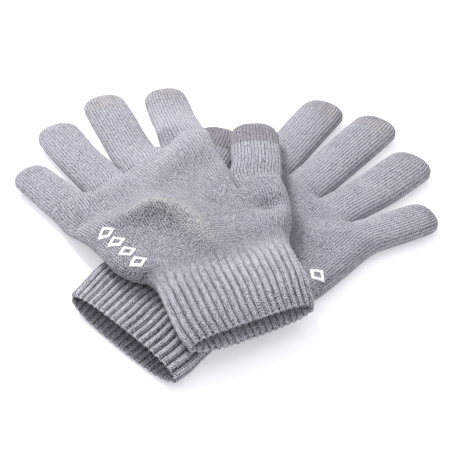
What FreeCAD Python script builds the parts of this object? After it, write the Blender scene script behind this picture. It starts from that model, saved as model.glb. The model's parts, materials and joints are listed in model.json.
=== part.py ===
import FreeCAD, Part
import json
import math
import os
from FreeCAD import Vector as V

os.makedirs("parts", exist_ok=True)

# ---- driving dimensions, mm -------------------------------------------------
WALL = 1.2            # knit thickness of one layer
FINGER_T = 8.0        # thickness of a finger lying flat
CLEAR = 0.4           # clearance where a finger folds against the hand
CAP = 15.0            # length of the conductive fingertip
HEM = 4.0             # length of the cuff's welt
CUFF = 46.0           # length of cuff and welt together
HEM_PROUD = 0.5       # how far the welt stands proud of the cuff

# a = across the hand, positive towards the thumb; b = from the cuff's mouth to the fingertips.
# cuff and hand sections: (b, a at little side, a at thumb side, underside z at each side, thickness)
# fingers: (base a, base b, base z, tip a, tip b, tip z, width); z is the middle of the thickness
GLOVES = {
    "right": dict(
        side=-1, mouth=(-43.8, -81.2), heading=45.8, floor=True,
        cuff=[(0, -33.5, 33.5, -0.2, -0.2, 10.4), (20, -33.0, 36.5, -0.2, -0.2, 10.4),
              (CUFF, -36.0, 40.0, -0.2, -0.2, 11.0)],
        hand=[(CUFF, -36.0, 40.0, -0.2, -0.2, 11.0), (60, -40.5, 50.0, -0.2, -0.2, 10.4),
              (75, -42.5, 60.0, -0.2, -0.2, 10.0), (86, -42.0, 40.5, -0.2, -0.2, 10.2),
              (105, -41.5, 43.0, -0.2, -0.2, 10.2), (122, -41.0, 44.5, -0.2, -0.2, 8.4),
              (140, -41.0, 46.5, -0.2, -0.2, 8.4)],
        fingers=dict(
            thumb=(50.5, 80.5, 4.0, 75.0, 138.5, 4.0, 19.5),
            index=(34.2, 128.0, 4.0, 47.5, 191.5, 4.0, 21.5),
            middle=(11.6, 131.2, 4.0, 19.5, 202.0, 4.0, 21.5),
            ring=(-11.2, 128.5, 4.0, -15.5, 188.0, 4.0, 21.0),
            little=(-32.0, 118.0, 4.0, -44.0, 161.0, 4.0, 18.6)),
        fold=dict(index=24.0),
        crotches=[(-21.6, 113.5), (0.3, 121.0), (22.6, 120.5)],
        motif=((-36.7, 83.7), (-33.0, 58.2))),
    "left": dict(
        side=1, mouth=(11.2, -85.6), heading=118.4, floor=False,
        cuff=[(0, -27.5, 27.5, 12.0, 12.0, 11.0), (20, -26.5, 33.0, 12.0, 12.0, 11.5),
              (CUFF, -27.0, 41.5, 12.0, 12.0, 13.0)],
        hand=[(CUFF, -27.0, 41.5, 12.0, 12.0, 13.0), (57, -33.0, 51.0, 12.0, 12.0, 16.0),
              (73, -37.7, 59.5, 12.0, 12.0, 18.0), (84.5, -38.7, 39.5, 12.0, 12.0, 17.5),
              (98, -39.5, 41.6, 12.0, 12.0, 14.2), (110, -40.1, 43.4, 4.4, 11.4, 10.8),
              (122, -40.5, 45.0, 0.9, 10.2, 8.6), (140, -41.0, 46.5, 0.9, 10.2, 8.6)],
        fingers=dict(
            thumb=(49.3, 78.5, 17.6, 72.8, 126.4, 16.2, 22.0),
            index=(34.4, 127.5, 13.6, 52.0, 189.5, 5.4, 21.0),
            middle=(11.7, 130.5, 10.0, 20.0, 199.8, 4.1, 21.5),
            ring=(-10.9, 126.5, 7.6, -13.6, 188.2, 4.1, 21.0),
            little=(-31.8, 114.5, 5.6, -41.5, 160.0, 4.1, 18.6)),
        fold=dict(),
        crotches=[(-21.5, 109.5), (0.2, 120.0), (22.8, 122.0)],
        motif=((-31.6, 76.2), (-27.6, 51.2))),
}
CAPPED = ("thumb", "index", "middle")
DIAMOND = (9.0, 7.4)  # printed diamond, corner to corner across the hand and along it
STROKE = 0.52         # size of the diamond's open middle as a share of the diamond
PRINT = 0.4           # how far the print stands off the knit
MARKS = 4             # diamonds in the printed row
WEB = (3.0, 1.6)      # bar of stitches at a finger crotch, along the hand and across it
REACH = 800.0         # long enough to pass any part of the pair


def world(g, a, b, z):
    h = math.radians(g["heading"])
    hx, hy, s = math.cos(h), math.sin(h), g["side"]
    return V(g["mouth"][0] + b * hx + s * a * hy, g["mouth"][1] + b * hy - s * a * hx, z)


def stadium(point, al, ar, zl, zr, t):
    """A flat oval in the (a, z) plane, drawn through point(a, z)."""
    r = t / 2.0
    w = math.hypot(ar - al, zr - zl)
    ux, uz = (ar - al) / w, (zr - zl) / w
    nx, nz = -uz, ux

    def p(s, n):
        return point(al + ux * s + nx * n, zl + r + uz * s + nz * n)
    edges = [Part.makeLine(p(r, -r), p(w - r, -r)),
             Part.Arc(p(w - r, -r), p(w, 0), p(w - r, r)).toShape(),
             Part.makeLine(p(w - r, r), p(r, r)),
             Part.Arc(p(r, r), p(0, 0), p(r, -r)).toShape()]
    return Part.Wire(edges)


def tube(g, rows, grow=0.0):
    """Hollow flat tube through the sections, and the same tube solid."""
    def wires(inset):
        out = []
        for b, al, ar, zl, zr, t in rows:
            out.append(stadium(lambda a, z, b=b: world(g, a, b, z), al + inset, ar - inset, zl + inset,
                               zr + inset, t - 2 * inset))
        return out
    outer = Part.makeLoft(wires(-grow), True, True)
    inner = Part.makeLoft(wires(WALL), True, True)
    return outer.cut(inner), outer


def cut_at(rows, b):
    """The rows up to b and from b on, with the section at b worked out between its neighbours."""
    for lo, hi in zip(rows, rows[1:]):
        if lo[0] <= b <= hi[0]:
            k = (b - lo[0]) / (hi[0] - lo[0])
            row = tuple(x + (y - x) * k for x, y in zip(lo, hi))
            return [r for r in rows if r[0] < b] + [row], [row] + [r for r in rows if r[0] > b]
    raise ValueError(b)


def finger_frame(g, spec):
    a0, b0, z0, a1, b1, z1, w = spec
    p, q = world(g, a0, b0, z0), world(g, a1, b1, z1)
    x = (q - p).normalize()
    y = V(0, 0, 1).cross(x).normalize()
    z = x.cross(y)
    m = FreeCAD.Matrix(x.x, y.x, z.x, p.x, x.y, y.y, z.y, p.y, x.z, y.z, z.z, p.z, 0, 0, 0, 1)
    return m, (q - p).Length, p, x, y


def pill(width, t, start, length):
    """A finger shape along X: flat oval section, its far end rounded in plan as well as in side view."""
    r, h = t / 2.0, width / 2.0
    end = length - h
    oval = stadium(lambda a, z: V(start, a, z), -h, h, -r, -r, t)
    body = Part.Face(oval).extrude(V(end - start, 0, 0))
    half = Part.Wire([Part.makeLine(V(end, 0, -r), V(end, h - r, -r)),
                      Part.Arc(V(end, h - r, -r), V(end, h, 0), V(end, h - r, r)).toShape(),
                      Part.makeLine(V(end, h - r, r), V(end, 0, r)),
                      Part.makeLine(V(end, 0, r), V(end, 0, -r))])
    tip = Part.Face(half).revolve(V(end, 0, 0), V(0, 0, 1), -180)
    return body.fuse(tip).removeSplitter()


def slab(x0, x1, width):
    return Part.makeBox(x1 - x0, width, REACH, V(x0, -width / 2.0, -REACH / 2.0))


def diamond(g, a, b, scale):
    """Upright prism over a diamond centred at (a, b)."""
    da, db = DIAMOND[0] / 2.0 * scale, DIAMOND[1] / 2.0 * scale
    corners = ((da, 0), (0, db), (-da, 0), (0, -db), (da, 0))
    outline = Part.makePolygon([world(g, a + u, b + v, 0) for u, v in corners])
    return Part.Face(outline).extrude(V(0, 0, REACH))


shapes = {}
joints = {}
for label, g in GLOVES.items():
    name = label + "_"
    table = Part.makeBox(REACH, REACH, REACH, V(-REACH / 2.0, -REACH / 2.0, 0))
    lead, rest = cut_at(g["cuff"], HEM)
    hem, _ = tube(g, lead, HEM_PROUD)
    cuff, _ = tube(g, rest)
    hand, hand_outer = tube(g, g["hand"])
    fingers = {}
    for f, spec in g["fingers"].items():
        m, length, p, x, y = finger_frame(g, spec)
        w, r = spec[6], FINGER_T / 2.0
        fold = g["fold"].get(f, 0.0)
        outer = pill(w, FINGER_T, fold - r, length)
        bore = pill(w - 2 * WALL, FINGER_T - 2 * WALL, fold - r - 5, length - WALL)
        knuckle = Part.makeCylinder(r, w + 2, V(fold, -w / 2.0 - 1, 0), V(0, 1, 0))
        keep = knuckle.fuse(slab(fold, length + 5, w + 4))
        shell = outer.common(keep).cut(bore)
        parts = {"": shell}
        if f in CAPPED:
            parts = {"": shell.common(slab(fold - 20, length - CAP, w + 4)),
                     "_tip": shell.common(slab(length - CAP, length + 5, w + 4))}
        if fold:
            root = pill(w, FINGER_T, -r, length).cut(pill(w - 2 * WALL, FINGER_T - 2 * WALL, -r - 5, length))
            parts["_root"] = root.common(slab(-r, fold - r - CLEAR, w + 4))
        for suffix, shape in parts.items():
            shape = shape.copy()
            shape.Placement = FreeCAD.Placement(m)
            fingers[f + suffix] = shape
        away = slab(-r - (CLEAR if not fold else 0.0), 80, w + 8)
        away.Placement = FreeCAD.Placement(m)
        hand = hand.cut(away)
        hinge = p + x * fold
        joints[name + f] = dict(pos=hinge, axis=y * -1, along=x)
    hand = max(hand.Solids, key=lambda s: s.Volume)
    webs = []
    for a, b in g["crotches"]:
        web = Part.makeBox(WEB[0], WEB[1], REACH, V(-WEB[0] / 2.0, -WEB[1] / 2.0, 0))
        web.rotate(V(0, 0, 0), V(0, 0, 1), g["heading"])
        web.translate(world(g, a, b, 0))
        inside = web.common(hand_outer).cut(hand)
        for f in g["fingers"].values():
            m, length, _, _, _ = finger_frame(g, f)
            away = slab(-FINGER_T / 2.0 - CLEAR, 80, f[6] + 8)
            away.Placement = FreeCAD.Placement(m)
            inside = inside.cut(away)
        webs.append(max(inside.Solids, key=lambda s: s.Volume))
    marks = []
    (a0, b0), (a1, b1) = g["motif"]
    for i in range(MARKS):
        k = i / (MARKS - 1.0)
        a, b = a0 + (a1 - a0) * k, b0 + (b1 - b0) * k
        column = diamond(g, a, b, 1.0).cut(diamond(g, a, b, STROKE))
        skin = hand_outer.copy()
        skin.translate(V(0, 0, PRINT))
        mark = column.common(skin).cut(hand_outer)
        marks.append(max(mark.Solids, key=lambda s: s.CenterOfMass.z))
    nodes = {"cuff_welt": hem, "cuff": cuff, "hand": hand,
             "crotch_stitches": Part.makeCompound(webs), "print": Part.makeCompound(marks)}
    nodes.update(fingers)
    for node, shape in nodes.items():
        if g["floor"]:
            shape = shape.common(table)
        shapes[name + node] = shape

box = FreeCAD.BoundBox()
for shape in shapes.values():
    box.add(shape.optimalBoundingBox(False, False))
shift = V(-box.Center.x, -box.Center.y, -box.ZMin)
out = {"shift": list(shift), "joints": {}, "gloves": {}, "box": [box.XLength, box.YLength, box.ZLength]}
for node, shape in shapes.items():
    shape.translate(shift)
    solids = shape.Solids
    shape = solids[0] if len(solids) == 1 else Part.makeCompound(solids)
    assert shape.isValid(), node
    shape.exportStep("parts/%s.step" % node)
    print(node, len(solids), round(sum(s.Volume for s in solids), 1))
for k, j in joints.items():
    out["joints"][k] = {"pos": list(j["pos"] + shift), "axis": list(j["axis"]), "along": list(j["along"])}
for k, g in GLOVES.items():
    out["gloves"][k] = {"mouth": list(world(g, 0, 0, 0) + shift), "heading": g["heading"], "side": g["side"]}
print("DATA " + json.dumps(out))
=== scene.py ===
import json
import math

import bmesh
import bpy
import numpy as np
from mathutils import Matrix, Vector


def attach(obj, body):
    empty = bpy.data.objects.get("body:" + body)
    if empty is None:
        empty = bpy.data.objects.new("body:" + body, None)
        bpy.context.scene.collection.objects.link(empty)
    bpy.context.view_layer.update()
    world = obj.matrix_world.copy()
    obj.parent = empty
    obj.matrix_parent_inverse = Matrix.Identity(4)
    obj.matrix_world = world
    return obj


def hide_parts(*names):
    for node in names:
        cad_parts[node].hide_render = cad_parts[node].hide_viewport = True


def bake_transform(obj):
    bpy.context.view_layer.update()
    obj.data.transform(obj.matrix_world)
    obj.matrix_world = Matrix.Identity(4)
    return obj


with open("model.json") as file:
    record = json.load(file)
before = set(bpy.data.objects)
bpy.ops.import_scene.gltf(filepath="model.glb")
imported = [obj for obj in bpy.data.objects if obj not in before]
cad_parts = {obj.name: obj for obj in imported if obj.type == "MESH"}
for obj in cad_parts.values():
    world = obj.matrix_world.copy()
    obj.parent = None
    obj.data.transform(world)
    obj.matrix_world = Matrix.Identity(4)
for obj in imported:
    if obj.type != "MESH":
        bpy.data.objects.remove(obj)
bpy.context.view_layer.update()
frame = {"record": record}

# ---- the gloves' knit, lengths in mm -----------------------------------------
WALES = 17            # wales across one face of a stall, and across its column in the hand
SAMPLES = 4           # mesh samples in one wale
RIB_WALES = 4.25      # wales in one rib of the cuff
COURSE = 1.15         # height of one course
ROW = 1.15            # spacing of mesh rows along the hand and the stalls
RELIEF = 0.20         # how far a wale stands proud
RIB = 1.05            # how far a rib stands proud
RIB_AT_WRIST = 0.1    # share of a rib's height left at the wrist
RIB_FADE = 12.0       # length over which the ribs vanish into the hand
WALL = 1.9            # thickness of the rib knit
CUFF = 46.0           # cuff's length, welt included
CUFF_STIFFNESS = 0.6  # how nearly the cuff's mouth bridges what it lies on instead of following it
WELT = 4.0            # welt's length
CAPS = {"thumb": 19.0, "index": 15.0, "middle": 15.0}  # length of each conductive fingertip
TUCK = 0.06           # how far one piece slips under the next at a join
TUCK_ROWS = (1.0, 0.4)  # how far past a join the two rows that slip under lie
JOIN = 1.5            # how far past its crotches a stall's own piece starts

MARKS = 4             # diamonds in the printed row
DIAMOND = (9.0, 7.4)  # printed diamond, corner to corner across the hand and along it
STROKE = 0.52         # size of the diamond's open middle as a share of the diamond
SIDES = ((1, 1), (1, 2), (2, 3), (3, 3), (4, 4))  # the crotch at each side of a column
CLOSING = 8.0         # length over which the hand closes into a stall
BRIDGE = 34.0         # length over which a stall's stiffness takes over from the hand's drape
SPAN_HEIGHT = 15.6    # height of the upper hand's middle where it spans from the lower cuff
STALL_HALF = 4.6      # height of a stall's back above its middle
STALL_UNDER = 0.85    # depth of its underside as a share of that
EDGE_RADIUS = 7.5     # distance over which the knit turns over at an open edge
WIDTH_AT = 11.0       # distance back from a stall's end where its width is read
CUFF_SPREAD = 16.0    # length over which the wales shift from the hand's spacing to the cuff's
CUFF_SWELL = 14.0     # length over which the thickness changes from the hand's to the cuff's
CUFF_SETTLE = 20.0    # length over which the cuff starts to bridge what it lies on
PUCKER = 1.7          # depth of the slit beside a crotch
PUCKER_OFFSET = np.array([3.4, -2.6])
PUCKER_SIZE = (4.2, 1.1)
TACK_LOOPS = 3        # loops of yarn in one bar tack
TACK_RADIUS = 0.42
TACK_SIDES = 9        # points round one loop's yarn
MM = 0.001
TINY = 1e-12          # keeps a division from failing

STALLS = ("little", "ring", "middle", "index", "thumb")

# a runs across the hand towards the thumb and b from the cuff's mouth to the fingertips, both in mm.
# v counts along the knit from the wrist. Borders lie between the stalls' columns of wales:
# 0 is the little finger's outer edge, 1 to 3 end at the finger crotches, 4 at the thumb's crotch,
# and 5 is the thumb's outer edge. Each point is (v, a, b); stall points are (v, a, b, width).
LEFT = dict(
    side=1,
    cuff=[(-46, -28.2, 1.0, 30.6, 0.6), (-40, -29.4, 6.8, 32.0, 6.0), (-30, -28.6, 16.4, 34.6, 15.6),
          (-19, -26.8, 27.0, 36.2, 25.6), (-8, -25.8, 36.8, 38.8, 34.8), (0, -27.2, 43.8, 42.2, 41.4)],
    borders=[
        [(0, -27.2, 43.8), (4, -32.6, 48.4), (9.5, -36.2, 55.4), (18, -37.2, 64.2), (28, -37.4, 73.5),
         (42, -38.9, 88.0), (56, -40.2, 102.0), (70, -41.0, 115.5)],
        [(0, -13.3, 43.3), (12, -18.8, 58.0), (38, -19.8, 84.5), (60, -20.4, 106.0), (80.5, -20.2, 126.5)],
        [(0, 0.6, 42.8), (12, -0.8, 58.0), (38, 0.0, 84.5), (60, 0.8, 106.0), (85.5, 1.4, 131.5)],
        [(0, 14.4, 42.4), (12, 17.0, 57.5), (38, 19.6, 84.0), (60, 22.2, 106.0), (89.5, 24.8, 135.6)],
        [(0, 28.3, 41.9), (12, 33.4, 56.5), (26, 37.0, 70.5), (38, 38.4, 82.7)],
        [(0, 42.2, 41.4), (8, 48.0, 48.6), (17, 52.4, 57.2), (27, 55.4, 66.2), (38, 58.0, 75.0)],
    ],
    index_edge=[(38, 38.4, 82.7), (53, 42.4, 98.0), (73, 45.8, 119.0), (89.5, 48.8, 132.4)],
    crotches={1: 80.5, 2: 85.5, 3: 89.5, 4: 38.0},
    stalls=dict(
        little=[(86, -32.0, 125.6, 21.6), (98, -35.0, 137.8, 20.2),
                (109, -37.6, 148.6, 19.6), (118.5, -40.0, 158.6, 19.0)],
        ring=[(92, -9.9, 138.0, 22.6), (107, -12.0, 154.0, 22.0),
              (124, -13.0, 171.5, 22.4), (139, -13.4, 186.6, 22.0)],
        middle=[(96, 13.4, 142.0, 23.2), (112, 14.9, 159.0, 22.4),
                (130, 17.0, 178.0, 22.8), (150.5, 18.8, 199.4, 22.4)],
        index=[(97, 37.8, 141.0, 23.4), (108, 41.2, 152.0, 22.8),
               (124, 46.0, 168.5, 22.8), (145, 51.2, 189.6, 22.2)],
        thumb=[(46, 49.8, 84.8, 24.0), (61, 57.4, 97.4, 24.2),
               (76, 64.4, 111.5, 23.8), (92, 71.4, 125.9, 23.4)]),
    heights=dict(thumb=(16.4, 15.6)),
    underlap=1.2,
    marks=((-31.6, 76.2), (-27.6, 51.2)),
)
RIGHT = dict(
    side=-1,
    cuff=[(-46, -33.8, -1.4, 33.6, 1.0), (-38, -34.0, 7.0, 35.6, 8.5), (-27, -32.0, 19.0, 38.2, 19.5),
          (-14, -32.8, 32.0, 39.4, 32.0), (0, -36.4, 46.0, 40.4, 46.0)],
    borders=[
        [(0, -36.4, 46.0), (12, -40.0, 58.0), (28, -42.4, 74.0), (50, -42.4, 96.0), (64, -41.6, 110.0),
         (74, -41.8, 118.5)],
        [(0, -21.0, 46.0), (12, -21.6, 58.0), (40, -21.9, 86.0), (60, -21.4, 106.0), (81.3, -21.9, 127.3)],
        [(0, -5.7, 46.0), (12, -2.4, 58.0), (40, -1.6, 86.0), (60, -0.4, 106.0), (85.4, 0.8, 131.4)],
        [(0, 9.7, 46.0), (12, 14.6, 58.0), (40, 18.5, 86.0), (60, 21.6, 106.0), (88.3, 24.1, 134.3)],
        [(0, 25.0, 46.0), (12, 31.2, 58.0), (28, 36.0, 74.0), (40, 38.5, 86.0)],
        [(0, 40.4, 46.0), (12, 49.0, 57.0), (28, 55.5, 69.0), (40, 58.4, 76.0)],
    ],
    index_edge=[(40, 38.5, 86.0), (54, 42.0, 100.0), (72, 44.6, 118.0), (88.3, 46.8, 131.6)],
    crotches={1: 81.3, 2: 85.4, 3: 88.3, 4: 40.0},
    stalls=dict(
        little=[(86, -34.0, 128.6, 20.8), (97, -37.8, 138.6, 20.8),
                (108, -41.4, 148.6, 20.2), (118.5, -45.0, 158.4, 19.8)],
        ring=[(92, -11.4, 138.0, 22.6), (106, -12.8, 151.0, 24.0),
              (124, -13.4, 169.0, 24.4), (143.5, -13.4, 188.8, 24.0)],
        middle=[(97, 13.4, 143.0, 23.0), (114, 15.2, 160.0, 23.4),
                (136, 17.9, 182.0, 24.2), (156, 20.2, 201.8, 23.8)],
        index=[(96, 37.2, 141.0, 22.6), (112, 41.2, 157.0, 23.0),
               (131, 46.0, 176.0, 23.6), (149, 49.8, 193.8, 23.0)],
        thumb=[(48, 50.4, 88.4, 23.4), (66, 58.4, 105.6, 25.0),
               (85, 67.4, 123.9, 25.8), (100.5, 75.4, 137.7, 23.4)]),
    heights={},
    underlap=2.2,
    marks=((-36.7, 83.7), (-33.0, 58.2)),
)


# ---- curves and fields -------------------------------------------------------
def smooth(x):
    x = np.clip(x, 0.0, 1.0)
    return x * x * (3 - 2 * x)


def mix(a, b, k):
    return a + (b - a) * k


def spline(points, v):
    """Smooth curve through rows of (v, x, y, ...), read at v; straight past its ends."""
    p = np.array(points, float)
    t, y = p[:, 0], p[:, 1:]
    d = np.diff(y, axis=0) / np.diff(t)[:, None]
    m = np.vstack([d[:1], (d[1:] * np.diff(t)[:-1, None] + d[:-1] * np.diff(t)[1:, None])
                   / (t[2:] - t[:-2])[:, None], d[-1:]])
    v = np.atleast_1d(np.asarray(v, float))
    i = np.clip(np.searchsorted(t, v, side="right") - 1, 0, len(t) - 2)
    h = t[i + 1] - t[i]
    k = ((v - t[i]) / h)[:, None]
    c = np.clip(k, 0.0, 1.0)
    h = h[:, None]
    out = ((2 * c**3 - 3 * c**2 + 1) * y[i] + (c**3 - 2 * c**2 + c) * h * m[i]
           + (3 * c**2 - 2 * c**3) * y[i + 1] + (c**3 - c**2) * h * m[i + 1])
    return out + np.where(k < 0, k, np.where(k > 1, k - 1, 0.0)) * h * np.where(k < 0, m[i], m[i + 1])


def blur(field, sigma):
    reach = int(3 * sigma)
    kernel = np.exp(-0.5 * (np.arange(-reach, reach + 1) / sigma) ** 2)
    kernel /= kernel.sum()
    for axis in (0, 1):
        field = np.apply_along_axis(lambda r: np.convolve(r, kernel, mode="same"), axis, field)
    return field


def spread(field, reach):
    """Largest value within reach cells."""
    for axis in (0, 1):
        field = np.max([np.roll(field, s, axis) for s in range(-reach, reach + 1)], axis=0)
    return field


def hill(a, b, centre, radii, turn=0.0):
    """1 at the centre, falling smoothly to 0 over an ellipse's radii."""
    c, s = math.cos(math.radians(turn)), math.sin(math.radians(turn))
    x, y = a - centre[0], b - centre[1]
    return np.exp(-((x * c + y * s) / radii[0]) ** 2 - ((y * c - x * s) / radii[1]) ** 2)


def edge_spaced(count):
    """Places from 0 to 1, closer together at both edges."""
    return (1 - np.cos(np.linspace(0, math.pi, count))) / 2


def quarter_round(distance):
    """0 at an edge, rising like a quarter circle to 1 at EDGE_RADIUS from it."""
    r = np.clip(distance / EDGE_RADIUS, 0, 1)
    return np.sqrt(np.clip(1 - (1 - r) ** 2, 0, 1))


def distance_run(u, z):
    """Distance along a section's surface, from its first point."""
    return np.concatenate([[0], np.cumsum(np.hypot(np.diff(u), np.diff(z)))])


def outward(u, z, top):
    """The direction out of the knit along a section, as its part across and its part up."""
    du, dz = np.gradient(u), np.gradient(z)
    norm = np.hypot(du, dz) + TINY
    sign = 1 if top else -1
    return -dz / norm * sign, du / norm * sign


def wale_relief(k):
    return RELIEF * np.abs(np.sin(math.pi * k / SAMPLES)) ** 0.8


def rib_relief(k):
    return RIB * (1 - np.abs(np.cos(math.pi * k / (RIB_WALES * SAMPLES))) ** 3)


class Glove:
    """One glove as it lies, read at a column, a place across and v.

    Each kind of glove below adds its thickness (half_thickness, cuff_half) and its middle surface (middle).
    """

    READ_AT = (0.15, 0.35, 0.5, 0.65, 0.85)  # places across a column where its height is read

    def __init__(self, name, plan, support=None):
        self.name, self.plan, self.support = name, plan, support
        self.side = plan["side"]
        self.beams, self.wrist = {}, {}
        mount = next(m for m in frame["record"]["mounts"] if m["name"] == name + "_cuff_opening")
        self.mouth = np.array(mount["pos_m"][:2]) * 1000
        self.heading = -np.array(mount["axis"][:2])
        self.across = self.side * np.array([self.heading[1], -self.heading[0]])

    def world(self, ab):
        return self.mouth + ab[..., :1] * self.across + ab[..., 1:] * self.heading

    def edge_line(self, column, right, v):
        """One side of a column of wales: a border in the hand, then the stall's own edge."""
        stall = STALLS[column]
        number = column + 1 if right else column
        points = list(self.plan["borders"][number])
        if stall == "index" and right:
            points = self.plan["borders"][4][:-1] + self.plan["index_edge"]
        spine = [p[:3] for p in self.plan["stalls"][stall]]
        width = np.array([p[3] for p in self.plan["stalls"][stall]])[:, None]
        t = np.array([p[0] for p in spine])
        ahead = spline(spine, t + 0.5) - spline(spine, t - 0.5)
        ahead /= np.linalg.norm(ahead, axis=1)[:, None]
        sideways = np.stack([ahead[:, 1], -ahead[:, 0]], 1) * (0.5 if right else -0.5)
        edge = spline(spine, t) + sideways * width
        return spline(points + [(at, *ab) for at, ab in zip(t, edge)], v)

    def length(self, column):
        return self.plan["stalls"][STALLS[column]][-1][0]

    def tip_width(self, column):
        v = self.length(column) - WIDTH_AT
        return np.linalg.norm(self.edge_line(column, True, v) - self.edge_line(column, False, v))

    def closing(self, column, v):
        """How far each side of a column has turned from open hand into closed stall."""
        left, right = (self.plan["crotches"][number] for number in SIDES[column])
        if STALLS[column] == "thumb":
            left, right = left + CLOSING, right + CLOSING
        return smooth((v - left) / CLOSING + 1), smooth((v - right) / CLOSING + 1)

    def outer_edges(self, column, v):
        """1 on a side of the column that is the hand's own outer edge."""
        left = 1.0 if column == 0 else 0.0
        right = 1.0 if column == 4 else 0.0
        if STALLS[column] == "index":
            right = smooth((v - self.plan["crotches"][4]) / CLOSING + 1)
        if STALLS[column] == "thumb":
            left = smooth((v - self.plan["crotches"][4]) / CLOSING + 1)
        return left, right

    def beam(self, column, v):
        """Height of a stall's middle, the same right across it because a knitted tube is stiff that way."""
        if STALLS[column] in self.plan["heights"]:
            base, tip = self.plan["heights"][STALLS[column]]
            return mix(base, tip, np.clip(v / self.length(column), 0, 1))
        if column not in self.beams:
            at = np.arange(-CUFF, self.length(column) + 20, 2.0)
            left, right = self.edge_line(column, False, at), self.edge_line(column, True, at)
            z = np.array([self.middle(self.world(mix(left, right, k))) for k in self.READ_AT]).max(0)
            kernel = np.hanning(11)[1:-1]
            for _ in range(3):
                z = np.convolve(np.pad(z, 4, mode="edge"), kernel / kernel.sum(), mode="valid")
            self.beams[column] = (at, z)
        return np.interp(v, *self.beams[column])

    def resting(self, column, v, s, xy):
        """Height of the middle surface: the hand's drape, then stiff stalls that part at the crotches."""
        own = self.beam(column, v)
        height = np.full(len(s), own)
        weights = []
        left_crotch, right_crotch = SIDES[column]
        for right, number, near in ((False, left_crotch, column - 1), (True, right_crotch, column + 1)):
            crotch = self.plan["crotches"][number]
            weights.append(smooth((v - crotch + (0 if number == 4 else BRIDGE * 0.8)) / BRIDGE))
            if number != 4 and 0 <= near < 4:
                shared = 0.5 * (self.beam(near, v) - own) * (1 - smooth((v - crotch) / CLOSING))
                height += shared * np.clip((2 * s - 1) if right else (1 - 2 * s), 0, 1)
        return mix(self.middle(xy), height, mix(weights[0], weights[1], s))

    def puckers(self, ab):
        """Depth of the short slit the bar tacks pull beside each crotch."""
        depth = np.zeros(len(ab))
        for number in (1, 2, 3):
            corner = self.crotch_point(number)
            depth += PUCKER * hill(ab[:, 0], ab[:, 1], corner + PUCKER_OFFSET, PUCKER_SIZE, 12)
        return depth

    # painted highlight along a ridge's crest; none on a glove without a ridge
    def crest_highlight(self, a, b):
        return np.zeros(len(a))

    def crotch_point(self, number):
        return spline(self.plan["borders"][number], self.plan["crotches"][number])[0]

    def section(self, column, v, top, lift=0.0, count=WALES * SAMPLES, places=False):
        """Points across one face of a column at v, evenly spaced along the knit, in mm.

        With places it returns only how far across the column they lie, from 0 to 1.
        """
        if v <= 0 and not places:
            return self.cuff_section(column, v, top, lift, count)
        tip, radius = self.length(column), 0.5 * self.tip_width(column)
        x = np.clip((v - (tip - radius)) / radius, 0.0, 1.0)
        narrow = (1 - x ** 2.3) ** (1 / 2.3)
        thin = (1 - x ** 2.6) ** (1 / 2.2)
        left, right = self.edge_line(column, False, v)[0], self.edge_line(column, True, v)[0]
        centre, half = (left + right) / 2, (right - left) / 2 * narrow
        w = 2 * np.linalg.norm(half)
        s = edge_spaced(161)
        close_left, close_right = self.closing(column, v)
        out_left, out_right = self.outer_edges(column, v)
        ab = centre + half * (2 * s - 1)[:, None]
        close = mix(close_left, close_right, s)
        stall_profile = np.clip(1 - np.abs(2 * s - 1) ** 2.4, 0, 1) ** (1 / 2.2)
        full = np.linalg.norm(right - left)
        left_rim = mix(1.0, quarter_round(s * full), out_left)
        right_rim = mix(1.0, quarter_round((1 - s) * full), out_right)
        profile = mix(left_rim * right_rim, stall_profile, close)
        stall_half = STALL_HALF * (1.0 if top else STALL_UNDER)
        thick = mix(self.half_thickness(ab[:, 0], ab[:, 1], top), stall_half, close)
        z_off = thick * profile * thin * (1 if top else -1)
        u = s * w
        run = distance_run(u, z_off)
        want = np.linspace(0, run[-1] if run[-1] > 0 else 1, count + 1)

        def pick(values):
            return np.interp(want, run, values)
        if places:
            return pick(s)
        ab = np.stack([pick(ab[:, 0]), pick(ab[:, 1])], 1)
        nu, nz = map(pick, outward(u, z_off, top))
        k = np.arange(count + 1)
        fade = np.clip((1 - x) * 4, 0, 1) * (1 + 1.5 * smooth(x / 0.5))
        rib_left = RIB_AT_WRIST * smooth(1 - v / RIB_FADE)
        height = wale_relief(k) * fade + rib_relief(k) * rib_left + lift
        direction = (half / (np.linalg.norm(half) + TINY)) if w > 1e-6 else np.array([1.0, 0.0])
        ab_out = ab + direction * (nu * height)[:, None]
        xy = self.world(ab)
        middle = self.resting(column, v, pick(s), xy)
        z = middle + pick(z_off) + nz * height - self.puckers(ab) * (1 if top else 0)
        return np.column_stack([self.world(ab_out), z])

    def cuff_section(self, column, v, top, lift, count):
        """The cuff is a flat oval tube; its columns of wales share it evenly."""
        la, lb, ra, rb = spline(self.plan["cuff"], v)[0]
        fraction = (column + np.linspace(0, 1, count + 1)) / len(STALLS)
        left, right = np.array([la, lb]), np.array([ra, rb])
        w = np.linalg.norm(right - left)
        s = edge_spaced(1201)
        open_up = smooth(-v / CUFF)
        thick = self.cuff_half(v, top)
        flat = quarter_round(np.minimum(s, 1 - s) * w)
        oval = np.clip(1 - np.abs(2 * s - 1) ** 3.0, 0, 1) ** 0.5
        profile = mix(flat, oval, open_up)
        ab0 = left + (right - left) * s[:, None]
        near = self.half_thickness(ab0[:, 0], ab0[:, 1], top)
        z_off = mix(near, thick, smooth(-v / CUFF_SWELL)) * profile * (1 if top else -1)
        u = s * w
        run = distance_run(u, z_off)
        even_places = np.interp(fraction * run[-1], run, s)
        if (column, top, count) not in self.wrist:
            places = self.section(column, 0, top, count=count, places=True)
            self.wrist[column, top, count] = (column + places) / len(STALLS)
        where = mix(self.wrist[column, top, count], even_places, smooth(-v / CUFF_SPREAD))

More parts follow.
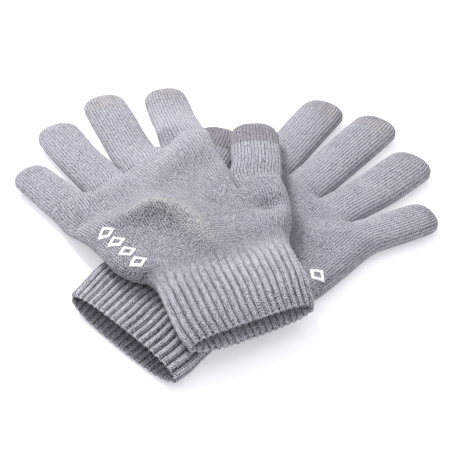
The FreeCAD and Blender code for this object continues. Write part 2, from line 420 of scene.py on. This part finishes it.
        def pick(values):
            return np.interp(where, s, values)
        nu, nz = map(pick, outward(u, z_off, top))
        ab = left + (right - left) * where[:, None]
        k = fraction * len(STALLS) * WALES * SAMPLES
        rib_left = mix(RIB_AT_WRIST, 1.0, smooth(-v / (0.6 * CUFF)))
        height = wale_relief(k) * mix(1.0, 0.5, open_up) + rib_relief(k) * rib_left + lift
        direction = (right - left) / w
        ahead = np.array([-direction[1], direction[0]])
        if not top:
            ab = ab - ahead * (self.plan["underlap"] * open_up * pick(profile))[:, None]
        bridge = self.middle(self.world(left + (right - left) * np.linspace(0, 1, 25)[:, None])).max()
        middle = mix(self.middle(self.world(ab)), bridge, CUFF_STIFFNESS * smooth(-v / CUFF_SETTLE))
        z = middle + self.cuff_lift(v) + pick(z_off) + nz * height
        return np.column_stack([self.world(ab + direction * (nu * height)[:, None]), z])

    def cuff_lift(self, v):
        return 0.0


class LowerGlove(Glove):
    """Lies flat on the table, palm down."""

    def half_thickness(self, a, b, top):
        if not top:
            return np.full_like(a, 4.4)
        swell = 0.9 * hill(a, b, (-5, 105), (35, 25)) + 1.3 * hill(a, b, (-26, 114), (13, 6), -20)
        dent = 1.9 * hill(a, b, (-8, 112), (10, 6), 20) + 2.0 * hill(a, b, (12, 114), (12, 6), 5)
        fold = 1.0 * hill(a, b, (-30, 97), (14, 4), 12)
        return 5.2 + swell - dent - fold

    def cuff_half(self, v, top):
        grow = smooth(-v / CUFF)
        return mix(5.2, 7.0, grow) if top else mix(4.4, 4.6, grow)

    def cuff_lift(self, v):
        return 0.9 * smooth(-v / 12.0)

    def middle(self, xy):
        return np.full(len(xy), 4.9 + RELIEF)


class UpperGlove(Glove):
    """Lies draped over the lower one; a hand's shape is still in it, pushed up into one curved ridge."""

    # the ridge's line, as (number, a, b, height)
    RIDGE = [(0, -34, 80, 2.2), (1, -20, 82.5, 4.6), (2, -7, 81.5, 7.0),
             (3, 1.5, 72, 8.2), (4, 4.5, 57, 7.6), (5, 5, 38, 3.6)]

    def from_crest(self, a, b):
        """The ridge's height beside each point, how far its line is, and whether that is inside the bend."""
        path = spline(self.RIDGE, np.linspace(0, 5, 90))
        ahead = np.gradient(path[:, :2], axis=0)
        ahead /= np.linalg.norm(ahead, axis=1)[:, None]
        away = np.stack([a, b], 1)[:, None, :] - path[None, :, :2]
        near = np.argmin((away ** 2).sum(2), axis=1)
        d = away[np.arange(len(a)), near]
        inside = ahead[near, 0] * d[:, 1] - ahead[near, 1] * d[:, 0] < 0
        off = np.linalg.norm(d, axis=1)
        return path[near, 2], off, inside

    def ridge(self, a, b):
        """How far the ridge lifts the back, gently on the inside of its bend and steeply outside."""
        height, off, inside = self.from_crest(a, b)
        outside_slope = 0.80 * np.exp(-(off / 13.0) ** 2)
        inside_slope = 0.52 * np.exp(-(off / 7.0) ** 2) + 0.28 * np.exp(-(off / 24.0) ** 2)
        return height * (np.where(inside, inside_slope, outside_slope) + 0.24 * np.exp(-(off / 4.4) ** 2))

    def crest_highlight(self, a, b):
        """How much painted highlight lies along the top of the ridge, from 0 to 1."""
        height, off, _ = self.from_crest(a, b)
        return np.clip((height - 4.2) / 3, 0, 1) * np.exp(-(off / 4.6) ** 2)

    def half_thickness(self, a, b, top):
        if not top:
            return np.full_like(a, 4.6)
        hollow = 2.6 * hill(a, b, (-10, 62), (14, 17), -12)
        knuckle = 1.2 * hill(a, b, (6, 116), (38, 7), 8)
        valley = 1.6 * hill(a, b, (28, 102), (22, 7), 10)
        fold = 2.8 * hill(a, b, (-37, 98), (11, 5.0), 18)
        thumb = 4.2 * hill(a, b, (43, 60.5), (8, 5.5), -20)
        palm = 1.4 * hill(a, b, (34, 50), (15, 10), 0)
        return 5.8 + self.ridge(a, b) - hollow + knuckle - valley - fold - thumb + palm

    def cuff_half(self, v, top):
        grow = smooth(-v / CUFF)
        return mix(6.4, 6.0, grow) if top else mix(4.6, 3.2, grow)

    def middle(self, xy):
        """Follows what lies below, but the stiff hand spans from the lower cuff out to the fingers' roots."""
        a, b = (xy - self.mouth) @ self.across, (xy - self.mouth) @ self.heading
        low = self.support(xy) + 4.8 + RELIEF + 5.0 * hill(a, b, (59, 67), (9, 20), -25)
        span = mix(SPAN_HEIGHT, 1.5, smooth((b - 76) / 46)) * smooth((b - 34) / 14)
        return 0.5 * (low + span + np.sqrt((low - span) ** 2 + 2.0))


class Support:
    """The top of what a soft thing lies on, smoothed as cloth bridges it."""

    def __init__(self, points, cell=1.0, reach=150.0, stiffness=6.0):
        self.cell, self.reach = cell, reach
        n = int(2 * reach / cell)
        field = np.zeros((n, n))
        ij = ((points[:, :2] + reach) / cell).astype(int)
        np.maximum.at(field, (ij[:, 0], ij[:, 1]), points[:, 2])
        field = spread(field, 2)
        soft = blur(field, stiffness)
        for _ in range(4):
            soft = blur(np.maximum(soft, field), 3.0)
        self.field = soft + 0.5 * smooth(soft / 3)

    def __call__(self, xy):
        p = (xy + self.reach) / self.cell - 0.5
        i = np.clip(np.floor(p).astype(int), 0, len(self.field) - 2)
        f = p - i
        z = self.field
        low = mix(z[i[:, 0], i[:, 1]], z[i[:, 0] + 1, i[:, 1]], f[:, 0])
        high = mix(z[i[:, 0], i[:, 1] + 1], z[i[:, 0] + 1, i[:, 1] + 1], f[:, 0])
        return mix(low, high, f[:, 1])


# ---- meshes ------------------------------------------------------------------
class Builder:
    """Collects grids of points, joins them where they meet, and makes one smooth object."""

    def __init__(self):
        self.points, self.stitch, self.faces = [], [], []

    def grid(self, rows, stitch, flip=False):
        start = sum(len(p) for p in self.points)
        n = rows.shape[1]
        self.points.append(rows.reshape(-1, 3))
        stitch = stitch.reshape(len(self.points[-1]), -1)
        self.stitch.append(np.pad(stitch, ((0, 0), (0, 3 - stitch.shape[1]))))
        for r in range(rows.shape[0] - 1):
            for k in range(n - 1):
                a = start + r * n + k
                face = (a, a + 1, a + n + 1, a + n)
                self.faces.append(face[::-1] if flip else face)

    def make(self, name, material, merge=0.002):
        mesh = bpy.data.meshes.new(name)
        points = np.vstack(self.points) * MM
        mesh.from_pydata(points.tolist(), [], self.faces)
        layer = mesh.attributes.new("stitch", "FLOAT_VECTOR", "POINT")
        layer.data.foreach_set("vector", np.vstack(self.stitch).astype(np.float32).ravel())
        bm = bmesh.new()
        bm.from_mesh(mesh)
        bmesh.ops.remove_doubles(bm, verts=bm.verts, dist=merge * MM)
        bmesh.ops.dissolve_degenerate(bm, edges=bm.edges, dist=1e-7)
        bm.to_mesh(mesh)
        bm.free()
        mesh.shade_smooth()
        mesh.materials.append(material)
        piece = bpy.data.objects.new(name, mesh)
        bpy.context.scene.collection.objects.link(piece)
        return piece


def stitch_of(column, v, top, count):
    u = column * WALES + np.arange(count + 1) / SAMPLES
    return np.stack([u, np.full(count + 1, v / COURSE + (0 if top else 0.5))], 1)


def knit(builder, glove, column, rows, lifts, top):
    count = WALES * SAMPLES
    points = np.array([glove.section(column, v, top, lift) for v, lift in zip(rows, lifts)])
    stitch = np.array([stitch_of(column, v, top, count) for v in rows])
    away = points[..., :2] - glove.mouth
    # the stitch attribute's third part carries the painted highlight along the ridge's crest
    crest_highlight = glove.crest_highlight((away @ glove.across).ravel(), (away @ glove.heading).ravel()) * top
    stitch = np.dstack([stitch, crest_highlight.reshape(points.shape[:2])])
    flip = (glove.side > 0) ^ top
    builder.grid(points, stitch, flip)


def even(start, end, step=ROW):
    return np.linspace(start, end, max(2, int(round(abs(end - start) / step)) + 1))


def tip_rows(start, tip, radius):
    """Rows up to a rounded tip, closer together as it turns over."""
    turn = tip - radius
    straight = even(start, turn) if turn > start + ROW else np.array([start])
    first = math.asin(min(1, max(0, (start - turn) / radius)))
    arc = turn + radius * np.sin(np.linspace(first, math.pi / 2, 20))
    return np.concatenate([straight, arc[1:]])


def with_tucks(rows, before=True, after=True):
    """Adds two rows past each end, which slip under the neighbouring piece."""
    lifts = np.zeros(len(rows))
    far, near = TUCK_ROWS
    if before:
        rows = np.concatenate([[rows[0] - far, rows[0] - near], rows])
        lifts = np.concatenate([[-2 * TUCK, -TUCK], lifts])
    if after:
        rows = np.concatenate([rows, [rows[-1] + near, rows[-1] + far]])
        lifts = np.concatenate([lifts, [-TUCK, -2 * TUCK]])
    return rows, lifts


def joins(glove, column):
    """Where a stall's own piece starts: just past its crotches."""
    crotches = glove.plan["crotches"]
    stall = STALLS[column]
    if stall == "thumb":
        return crotches[4] + JOIN
    near = [crotches[n] for n in (column, column + 1) if n in (1, 2, 3)]
    return max(near) + JOIN


# ---- materials ---------------------------------------------------------------
RANGE = ("From Min", "From Max", "To Min", "To Max")
SMOOTHER = (45, 95)    # v over which the knit's fuzz calms and its tone lightens from the hand's to the stalls', in mm


class Nodes:
    """A short way to write a material's arithmetic."""

    def __init__(self, name):
        self.material = bpy.data.materials.new(name)
        self.material.use_nodes = True
        self.tree = self.material.node_tree
        self.shader = self.tree.nodes["Principled BSDF"]

    def node(self, kind, **inputs):
        made = self.tree.nodes.new(kind)
        for key, value in inputs.items():
            self.put(made.inputs[key], value)
        return made

    def put(self, socket, value):
        if isinstance(value, bpy.types.NodeSocket):
            self.tree.links.new(value, socket)
        else:
            socket.default_value = value

    def math(self, operation, *values):
        made = self.tree.nodes.new("ShaderNodeMath")
        made.operation = operation
        for socket, value in zip(made.inputs, values):
            self.put(socket, value)
        return made.outputs[0]

    def colour(self, factor, low, high):
        made = self.tree.nodes.new("ShaderNodeMix")
        made.data_type = "RGBA"
        self.put(made.inputs["Factor"], factor)
        for key, value in (("A", low), ("B", high)):
            self.put(made.inputs[key], (*value, 1) if isinstance(value, tuple) else value)
        return made.outputs["Result"]

    def noise(self, vector, scale, detail=2.0):
        made = self.tree.nodes.new("ShaderNodeTexNoise")
        self.put(made.inputs["Vector"], vector)
        made.inputs["Scale"].default_value = scale
        made.inputs["Detail"].default_value = detail
        return made.outputs["Fac"]


def knit_material(name, dark, light, ribs=0.0, fluff=3.1, depth=0.5, mottle=0.35):
    """Plain knit: two legs of each loop lean into a V; u counts wales and v counts courses. Its colour
    carries painted shade in the gaps between wales and loops and in the cuff's rib valleys, and a painted
    highlight along the upper glove's ridge.
    """
    n = Nodes(name)
    place = n.node("ShaderNodeAttribute")
    place.attribute_name = "stitch"
    split = n.node("ShaderNodeSeparateXYZ", Vector=place.outputs["Vector"])
    u, v = split.outputs["X"], split.outputs["Y"]
    world = n.node("ShaderNodeTexCoord").outputs["Object"]
    fuzz = n.math("SUBTRACT", n.noise(world, 1700.0, 1.0), 0.5)
    marl = n.math("SUBTRACT", n.noise(world, 620.0, 1.0), 0.5)
    drift = n.math("SUBTRACT", n.noise(world, 150.0, 2.0), 0.5)
    cloud = n.math("SUBTRACT", n.noise(world, 22.0, 2.0), 0.5)
    across = n.math("FRACT", n.math("ADD", u, n.math("MULTIPLY", drift, 0.3)))
    leg = n.math("ABSOLUTE", n.math("MULTIPLY_ADD", across, 2.0, -1.0))
    # the stitch height shapes the bump and also darkens the colour where it is low: painted shade between
    # wales and between a loop's two legs
    gap = n.math("POWER", leg, 2.6)
    middle = n.math("POWER", n.math("SUBTRACT", 1.0, leg), 4.0)
    lean = n.math("ADD", n.math("ADD", v, n.math("MULTIPLY", drift, 0.8)), n.math("MULTIPLY", leg, -0.8))
    loop = n.math("MULTIPLY_ADD", n.math("COSINE", n.math("MULTIPLY", lean, 2 * math.pi)), 0.5, 0.5)
    yarn = n.math("SUBTRACT", n.math("MULTIPLY_ADD", loop, 0.55, 0.45), n.math("MULTIPLY", middle, 0.42))
    height = n.math("MULTIPLY", yarn, n.math("SUBTRACT", 1.0, gap))
    # ribs sets the strength of the painted shade in the valleys between the cuff's ribs
    if ribs:
        turn = n.math("FRACT", n.math("DIVIDE", u, RIB_WALES))
        rib = n.math("ABSOLUTE", n.math("MULTIPLY_ADD", turn, 2.0, -1.0))
        grown = n.math("MULTIPLY", v, -2.2 * COURSE / CUFF)
        grown.node.use_clamp = True
        # painted shade: darker in the rib valleys, more so towards the cuff's mouth
        valley = n.math("MULTIPLY", n.math("POWER", rib, 2.5), n.math("MULTIPLY", grown, ribs))
        shaded_height = n.math("SUBTRACT", height, valley)
        stiff = n.math("MULTIPLY", v, -COURSE / 16)
        stiff.node.use_clamp = True
        light = n.colour(stiff, GREY_LIGHT, light)
    else:
        shaded_height = height
    along_stalls = n.node("ShaderNodeMapRange", Value=v)
    along_stalls.interpolation_type = "SMOOTHSTEP"
    for key, value in zip(RANGE, (*(v_mm / COURSE for v_mm in SMOOTHER), 0.0, 1.0)):
        along_stalls.inputs[key].default_value = value
    calm = along_stalls.outputs["Result"]
    # painted shade: the tone is darker where the stitch height is low, in the gaps between wales and loops
    # and in the rib valleys
    # the tone is also lighter and less fuzzy along the stalls than on the hand
    tone = n.math("ADD", n.math("MULTIPLY", shaded_height, 1.5), n.math("MULTIPLY_ADD", calm, 0.15, -0.16))
    tone = n.math("ADD", tone, n.math("MULTIPLY", fuzz, n.math("MULTIPLY_ADD", calm, -0.6, fluff)))
    tone = n.math("ADD", tone, n.math("MULTIPLY", marl, 0.5))
    tone = n.math("ADD", tone, n.math("MULTIPLY", cloud, mottle))
    # painted highlight: the tone rises along the ridge's crest
    tone = n.math("ADD", tone, n.math("MULTIPLY", split.outputs["Z"], 0.14))
    tone.node.use_clamp = True
    # painted highlight: along the ridge's crest the light colour turns paler
    n.put(n.shader.inputs["Base Color"], n.colour(tone, dark, n.colour(split.outputs["Z"], light, CREST_HIGHLIGHT)))
    n.shader.inputs["Roughness"].default_value = 0.95
    n.shader.inputs["Specular IOR Level"].default_value = 0.15
    n.shader.inputs["Sheen Weight"].default_value = 0.25
    n.shader.inputs["Sheen Roughness"].default_value = 0.5
    rough_height = n.math("ADD", height, n.math("MULTIPLY", fuzz, 0.7))
    bump = n.node("ShaderNodeBump", Height=rough_height, Strength=depth, Distance=0.0007)
    n.put(n.shader.inputs["Normal"], bump.outputs["Normal"])
    return n.material


def print_material():
    n = Nodes("print")
    world = n.node("ShaderNodeTexCoord").outputs["Object"]
    grain = n.noise(world, 700.0, 2.0)
    n.put(n.shader.inputs["Base Color"], n.colour(grain, (0.78, 0.79, 0.80), (0.93, 0.94, 0.95)))
    n.shader.inputs["Roughness"].default_value = 0.55
    bump = n.node("ShaderNodeBump", Height=grain, Strength=0.25, Distance=0.0003)
    n.put(n.shader.inputs["Normal"], bump.outputs["Normal"])
    return n.material


GREY_DARK, GREY_LIGHT = (0.036, 0.036, 0.052), (0.470, 0.470, 0.522)
RIB_LIGHT = (0.77, 0.77, 0.84)
# colour of the painted highlight along the upper glove's ridge
CREST_HIGHLIGHT = (0.53, 0.53, 0.515)
TIP_DARK, TIP_LIGHT = (0.040, 0.037, 0.048), (0.46, 0.445, 0.475)
THUMB_DARK, THUMB_LIGHT = (0.025, 0.023, 0.033), (0.31, 0.295, 0.325)
MATERIALS = {
    "knit": knit_material("knit", GREY_DARK, GREY_LIGHT),
    "rib_knit": knit_material("rib_knit", GREY_DARK, RIB_LIGHT, ribs=0.4, fluff=2.0),
    "conductive_knit": knit_material("conductive_knit", TIP_DARK, TIP_LIGHT, mottle=0.5),
    "conductive_thumb": knit_material("conductive_thumb", THUMB_DARK, THUMB_LIGHT, mottle=0.5),
    "stitching": knit_material("stitching", (0.05, 0.05, 0.07), (0.36, 0.365, 0.42)),
    "print": print_material(),
}


# ---- pieces ------------------------------------------------------------------
def place(piece, body, node, slot):
    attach(piece, body)
    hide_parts(node)


def hand_piece(glove):
    b = Builder()
    for column in range(len(STALLS)):
        rows, lifts = with_tucks(even(0.0, joins(glove, column)), before=False)
        for top in (True, False):
            knit(b, glove, column, rows, lifts, top)
    piece = b.make(glove.name + "_hand_knit", MATERIALS["knit"])
    place(piece, glove.name + "_glove", glove.name + "_hand", "knit")


def stall_pieces(glove, column):
    """A stall's knit up to its conductive fingertip and that fingertip, each with its node and slot."""
    stall = STALLS[column]
    start, tip = joins(glove, column), glove.length(column)
    rows = tip_rows(start, tip, glove.tip_width(column) / 2)
    pieces = []
    if stall in CAPS:
        change = tip - CAPS[stall]
        spans = [("", np.append(rows[rows < change - 0.3], change), "knit"),
                 ("_tip", np.insert(rows[rows > change + 0.3], 0, change), "conductive_knit")]
    else:
        spans = [("", rows, "knit")]
    for suffix, part, slot in spans:
        last = part[-1] >= tip - 1e-6
        part, lifts = with_tucks(part, True, not last)
        b = Builder()
        for top in (True, False):
            knit(b, glove, column, part, lifts, top)
        material = "conductive_thumb" if (stall, suffix) == ("thumb", "_tip") else slot
        piece = b.make(f"{glove.name}_{stall}{suffix}_knit", MATERIALS[material])
        pieces.append((piece, f"{glove.name}_{stall}{suffix}", slot))
    return pieces


def cuff_pieces(glove):
    """The cuff and its welt: outside, rounded lip and inside of one ribbed tube."""
    count = WALES * SAMPLES
    outside = even(0.0, WELT - CUFF)
    lip = np.linspace(0, math.pi, 9)
    r = WALL / 2
    welt_out = [(v, 0.0) for v in even(WELT - CUFF, r - CUFF, 0.9)]
    welt_lip = [(-CUFF + r - r * math.sin(t), -r + r * math.cos(t)) for t in lip[1:-1]]
    welt_in = [(v, -WALL) for v in even(r - CUFF, WELT - CUFF, 0.9)]
    inside = [(v, -WALL) for v in even(WELT - CUFF, -6.0)]
    far, near = TUCK_ROWS
    cuff_tucks = [(outside[-1] - near, -TUCK), (outside[-1] - far, -2 * TUCK)]
    welt_tucks = [(WELT - CUFF + far, -2 * TUCK), (WELT - CUFF + near, -TUCK)]
    spans = {
        "cuff": [[(v, 0.0) for v in outside] + cuff_tucks, inside],
        "cuff_welt": [welt_tucks + welt_out + welt_lip + welt_in],
    }
    for name, runs in spans.items():
        b = Builder()
        for run in runs:
            for column in range(len(STALLS)):
                for top in (True, False):
                    points = np.array([glove.section(column, v, top, lift) for v, lift in run])
                    stitch = np.array([stitch_of(column, v, top, count) for v, _ in run])
                    b.grid(points, stitch, (glove.side > 0) ^ (not top))
        piece = b.make(f"{glove.name}_{name}_knit", MATERIALS["rib_knit"])
        place(piece, glove.name + "_glove", f"{glove.name}_{name}", "rib_knit")


def print_piece(glove):
    """A row of open diamonds printed on the back, beside the little finger's edge."""
    near_marks = [(column, v) for column in (0, 1) for v in even(-12.0, 52.0)]
    cloud = np.vstack([glove.section(column, v, True, count=56) for column, v in near_marks])

    def skin(ab):
        """The knit's outside at each plan point, smoothed over about one wale."""
        xy = glove.world(ab)
        distance = np.linalg.norm(cloud[None, :, :2] - xy[:, None, :], axis=2)
        weight = np.exp(-(distance / 1.1) ** 2) + 1e-12
        return np.column_stack([xy, (weight * cloud[:, 2]).sum(1) / weight.sum(1)])

    first, last = (np.array(end) for end in glove.plan["marks"])
    bm = bmesh.new()
    corners = np.array([(1, 0), (0, 1), (-1, 0), (0, -1)], float)
    parts = 6
    along_side = np.arange(parts)[:, None] / parts
    outline = np.vstack([mix(corners[c], corners[(c + 1) % 4], along_side) for c in range(4)])
    for i in range(MARKS):
        centre = mix(first, last, i / (MARKS - 1))
        loops = []
        for scale, rise in ((1.0, -0.5), (1.0, 0.25), (0.95, 0.42), (0.81, 0.46), (STROKE + 0.05, 0.42),
                            (STROKE, 0.25), (STROKE, -0.5)):
            points = skin(centre + outline * np.array(DIAMOND) / 2 * scale)
            loops.append([bm.verts.new((x * MM, y * MM, (z + rise) * MM)) for x, y, z in points])
        for low, high in zip(loops, loops[1:]):
            for j in range(len(low)):
                k = (j + 1) % len(low)
                bm.faces.new((low[j], low[k], high[k], high[j]))
    mesh = bpy.data.meshes.new(glove.name + "_diamonds")
    bmesh.ops.recalc_face_normals(bm, faces=bm.faces)
    bm.to_mesh(mesh)
    bm.free()
    mesh.materials.append(MATERIALS["print"])
    piece = bpy.data.objects.new(mesh.name, mesh)
    bpy.context.scene.collection.objects.link(piece)
    place(piece, glove.name + "_glove", glove.name + "_print", "print")


def stitch_piece(glove):
    """Bar tacks: short loops of yarn across each finger crotch."""
    b = Builder()
    for number, crotch in glove.plan["crotches"].items():
        for loop in range(TACK_LOOPS):
            v = crotch - 1.0 - 0.9 * loop
            before = glove.section(number - 1, v, True)
            after = glove.section(number, v, True)
            path = np.vstack([before[-5:], after[1:5]])
            arch = np.sin(np.linspace(0.15, math.pi - 0.15, len(path)))
            path[:, 2] = path[:, 2].min() + 0.25 + 0.55 * arch + 0.5 * (path[:, 2] - path[:, 2].min())
            tangent = np.gradient(path, axis=0)
            tangent /= np.linalg.norm(tangent, axis=1)[:, None]
            up = np.array([0, 0, 1.0])
            side = np.cross(tangent, up)
            side /= np.linalg.norm(side, axis=1)[:, None]
            up = np.cross(side, tangent)
            taper = np.sin(np.linspace(0.35, math.pi - 0.35, len(path))) * 1.3
            thick = TACK_RADIUS * np.clip(taper, 0, 1)[:, None]
            turns = np.linspace(0, 2 * math.pi, TACK_SIDES)
            grid = np.array([path + (side * math.cos(t) + up * math.sin(t)) * thick for t in turns])
            stitch = np.zeros(grid.shape[:2] + (2,))
            stitch[..., 0] = np.linspace(0, 1, TACK_SIDES)[:, None]
            stitch[..., 1] = np.linspace(0, 5, len(path))[None, :]
            b.grid(grid, stitch)
    piece = b.make(glove.name + "_tacks", MATERIALS["stitching"])
    place(piece, glove.name + "_glove", glove.name + "_crotch_stitches", "stitching")


def glove_pieces(glove):
    hand_piece(glove)
    cuff_pieces(glove)
    print_piece(glove)
    stitch_piece(glove)
    joints = {j["name"]: j for j in frame["record"]["behaviour"]["joints"]}
    for column, stall in enumerate(STALLS):
        pieces = stall_pieces(glove, column)
        joint = joints.get(f"{glove.name}_{stall}_fold")
        nodes = [node for _, node, _ in pieces]
        for n, (piece, node, slot) in enumerate(pieces):
            extra = [f"{glove.name}_index_root"] if node == "right_index" else []
            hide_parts(node, *extra)
            if joint is None:
                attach(piece, glove.name + "_glove")
            elif n == len(pieces) - 1 and len(pieces) > 1:
                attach(piece, joint["child"])
            else:
                root = glove.section(column, joins(glove, column), True) * MM
                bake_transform(piece)


def all_points(glove):
    """The whole back of a glove as a cloud of points."""
    cloud = []
    for column in range(len(STALLS)):
        for v in np.arange(-CUFF, glove.length(column), 1.0):
            cloud.append(glove.section(column, v, True, count=28))
    return np.vstack(cloud)


right = LowerGlove("right", RIGHT)
left = UpperGlove("left", LEFT, Support(all_points(right)))
glove_pieces(right)
glove_pieces(left)


# ---- studio ------------------------------------------------------------------
# brightness of the room: between these heights of the view direction it goes from one strength to the other
SKY = (0.1, 0.9, 0.22, 1.15)
BACKDROP = (0.13, 0.18, 1.0, 0.0)


def studio():
    white = Nodes("floor")
    white.shader.inputs["Base Color"].default_value = (0.92, 0.92, 0.925, 1)
    white.shader.inputs["Roughness"].default_value = 0.9
    white.shader.inputs["Emission Color"].default_value = (0.96, 0.96, 1.0, 1)
    white.shader.inputs["Emission Strength"].default_value = 0.36
    bpy.ops.mesh.primitive_plane_add(size=6, location=(0, 0, 0))
    floor = bpy.context.object
    floor.name = "floor"
    floor.data.materials.append(white.material)
    world = bpy.data.worlds.new("studio")
    bpy.context.scene.world = world
    world.use_nodes = True
    nodes, links = world.node_tree.nodes, world.node_tree.links
    sky = nodes["Background"]
    sky.inputs["Color"].default_value = (0.95, 0.955, 1.0, 1)
    direction = nodes.new("ShaderNodeSeparateXYZ")
    links.new(nodes.new("ShaderNodeTexCoord").outputs["Generated"], direction.inputs["Vector"])
    brighter = nodes.new("ShaderNodeMath")
    brighter.operation = "MAXIMUM"
    for socket, band in zip(brighter.inputs, (SKY, BACKDROP)):
        part = nodes.new("ShaderNodeMapRange")
        for key, value in zip(RANGE, band):
            part.inputs[key].default_value = value
        links.new(direction.outputs["Z"], part.inputs["Value"])
        links.new(part.outputs["Result"], socket)
    links.new(brighter.outputs[0], sky.inputs["Strength"])

    def area(name, where, size, power):
        light = bpy.data.lights.new(name, "AREA")
        light.size, light.energy = size, power
        lamp = bpy.data.objects.new(name, light)
        bpy.context.scene.collection.objects.link(lamp)
        lamp.location = where
        lamp.rotation_euler = (-Vector(where)).to_track_quat("-Z", "Y").to_euler()
    area("key", (-0.5, 0.78, 0.85), 0.35, 19)
    bpy.context.scene.view_settings.view_transform = "Standard"


def camera():
    """Looks 40 degrees down along +Y from 600 mm away."""
    aim = Vector((0.0017, -0.0006, 0))
    elevation, distance = math.radians(40), 0.6
    data = bpy.data.cameras.new("camera")
    data.lens, data.sensor_width = 100.8, 36
    eye = bpy.data.objects.new("camera", data)
    bpy.context.scene.collection.objects.link(eye)
    eye.location = aim + Vector((0, -math.cos(elevation), math.sin(elevation))) * distance
    eye.rotation_euler = (aim - eye.location).to_track_quat("-Z", "Y").to_euler()
    bpy.context.scene.camera = eye


studio()
camera()
